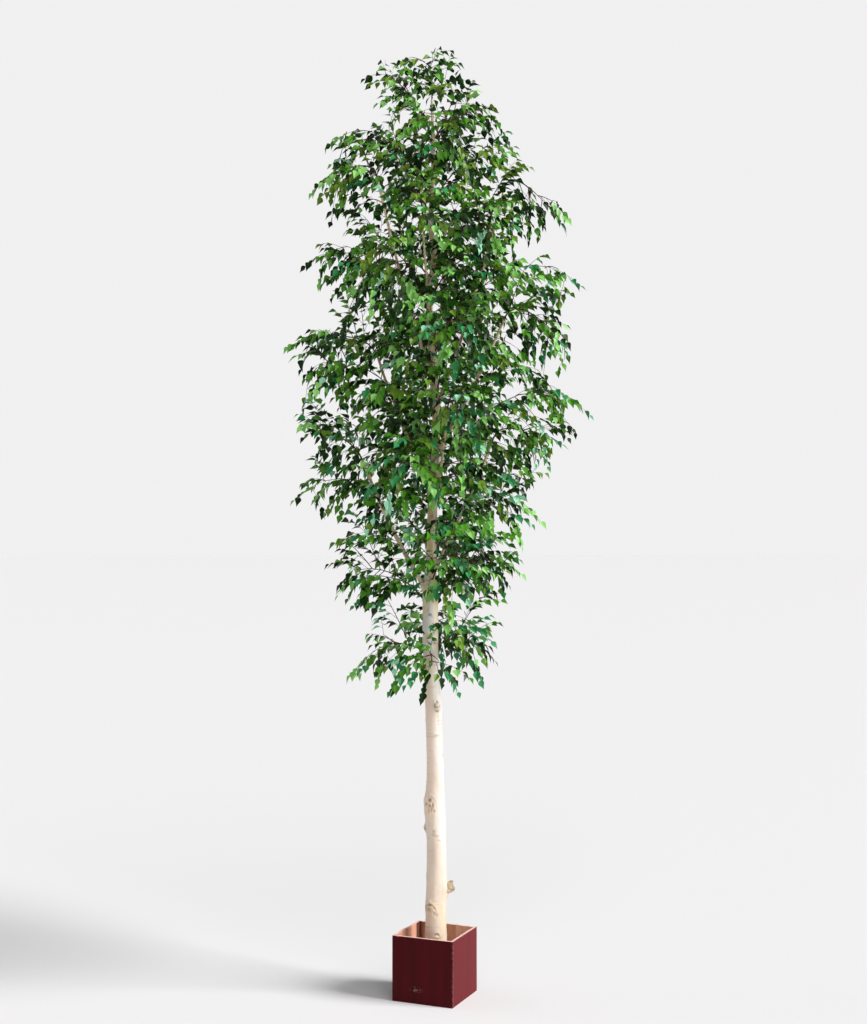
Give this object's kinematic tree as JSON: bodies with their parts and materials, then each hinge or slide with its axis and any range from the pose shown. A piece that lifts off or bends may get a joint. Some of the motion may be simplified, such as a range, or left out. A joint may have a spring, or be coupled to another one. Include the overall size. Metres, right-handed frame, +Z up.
{
  "type": "artificial birch tree",
  "caption": "Tall artificial birch: a real birch log and boughs carry drooping sprays of made leaves, and a cast footing holds the log in a square open planter.",
  "frame": {"origin": "centre of the planter's flat underside, on the floor", "axes": "+Z up, the planter's sides along X and Y, and its front face to -Y"},
  "size_m": [1.4027, 1.2641, 4.4006],
  "materials": {
    "painted_board": "dark red paint, satin",
    "raw_board": "raw plywood",
    "cast": "rough cast",
    "bark": "cream birch bark",
    "bough_bark": "tan birch bark",
    "leaves": "printed leaf fabric, satin"
  },
  "bodies": {
    "root": {"bough_back_high": "bough_bark", "bough_back_low": "bough_bark", "bough_front_high": "bough_bark", "bough_front_low": "bough_bark", "bough_left_high": "bough_bark", "bough_left_low": "bough_bark", "bough_left_middle": "bough_bark", "bough_right_high": "bough_bark", "bough_right_low": "bough_bark", "bough_right_middle": "bough_bark", "foliage_back_01": "leaves", "foliage_back_02": "leaves", "foliage_back_03": "leaves", "foliage_back_04": "leaves", "foliage_back_05": "leaves", "foliage_back_06": "leaves", "foliage_back_07": "leaves", "foliage_back_08": "leaves", "foliage_front_01": "leaves", "foliage_front_02": "leaves", "foliage_front_03": "leaves", "foliage_front_04": "leaves", "foliage_front_05": "leaves", "foliage_front_06": "leaves", "foliage_front_07": "leaves", "foliage_front_08": "leaves", "foliage_left_01": "leaves", "foliage_left_02": "leaves", "foliage_left_03": "leaves", "foliage_left_04": "leaves", "foliage_left_05": "leaves", "foliage_left_06": "leaves", "foliage_left_07": "leaves", "foliage_left_08": "leaves", "foliage_left_09": "leaves", "foliage_left_10": "leaves", "foliage_left_11": "leaves", "foliage_right_01": "leaves", "foliage_right_02": "leaves", "foliage_right_03": "leaves", "foliage_right_04": "leaves", "foliage_right_05": "leaves", "foliage_right_06": "leaves", "foliage_right_07": "leaves", "foliage_right_08": "leaves", "foliage_right_09": "leaves", "foliage_right_10": "leaves", "foliage_right_11": "leaves", "foliage_top": "leaves", "footing": "cast", "planter_back": "painted_board", "planter_floor": "raw_board", "planter_front": "painted_board", "planter_left": "painted_board", "planter_right": "painted_board", "trunk": "bark"}
  },
  "joints": []
}
